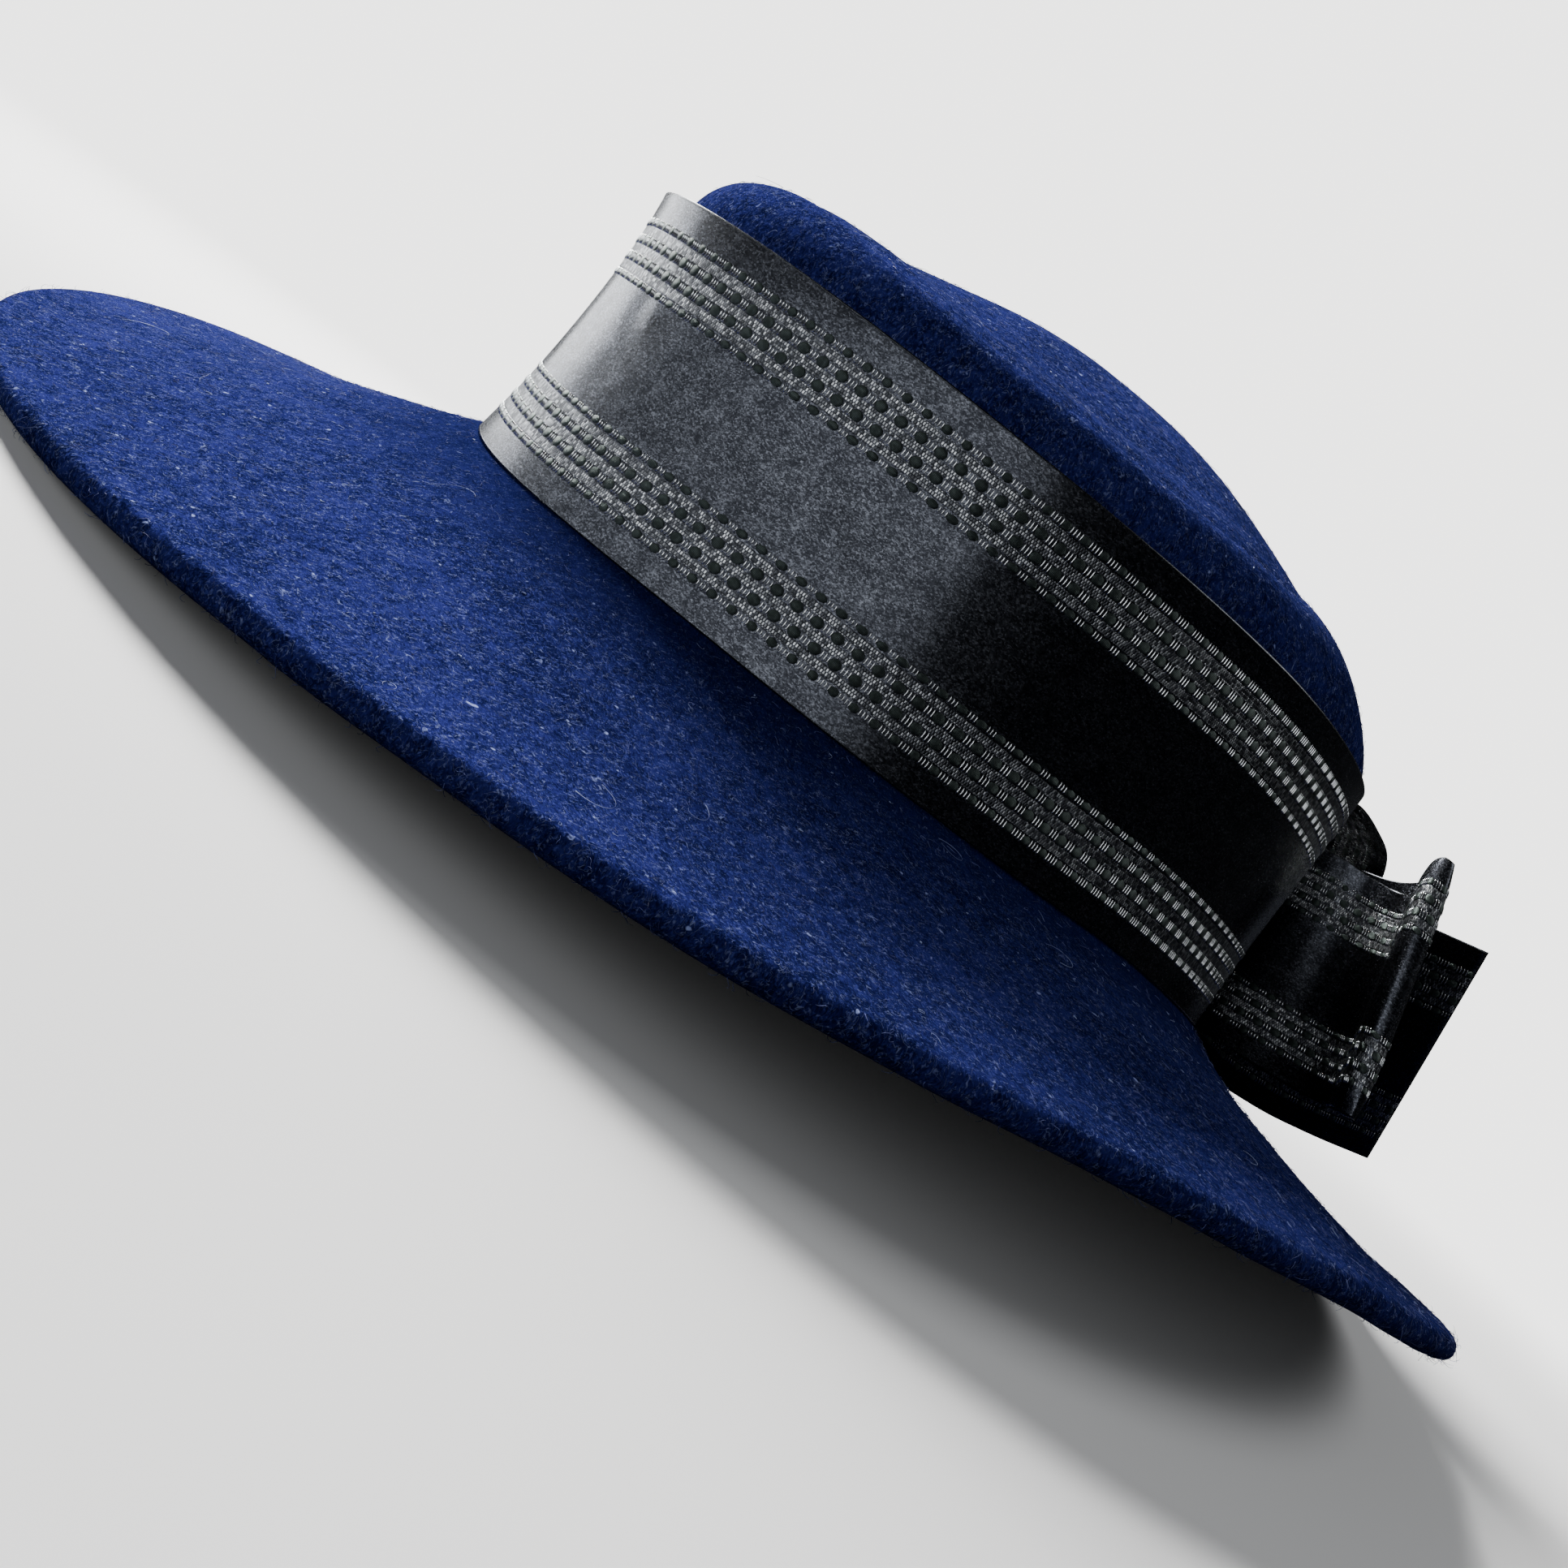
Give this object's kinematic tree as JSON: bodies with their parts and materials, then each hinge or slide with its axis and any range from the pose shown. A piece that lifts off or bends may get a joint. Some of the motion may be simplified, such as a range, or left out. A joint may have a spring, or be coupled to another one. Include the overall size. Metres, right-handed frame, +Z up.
{
  "type": "wide-brim felt hat",
  "caption": "Blue felt hat with a wide turned brim, a low dented crown, a broad black woven-stripe ribbon band and a flat tied bow at the back.",
  "frame": {"origin": "on the surface the hat lies on, under the middle of its box", "axes": "+Z up through the crown; +Y towards the back of the head, where the bow is; +X towards the wearer's left"},
  "size_m": [0.3168, 0.3444, 0.1196],
  "materials": {
    "felt": "brushed wool felt, matt and hairy",
    "ribbon": "satin ribbon with woven stripes of small raised floats"
  },
  "bodies": {
    "root": {"felt_body": "felt", "hat_band": "ribbon", "bow_loops": "ribbon", "bow_tails": "ribbon", "bow_knot": "ribbon"}
  },
  "joints": []
}
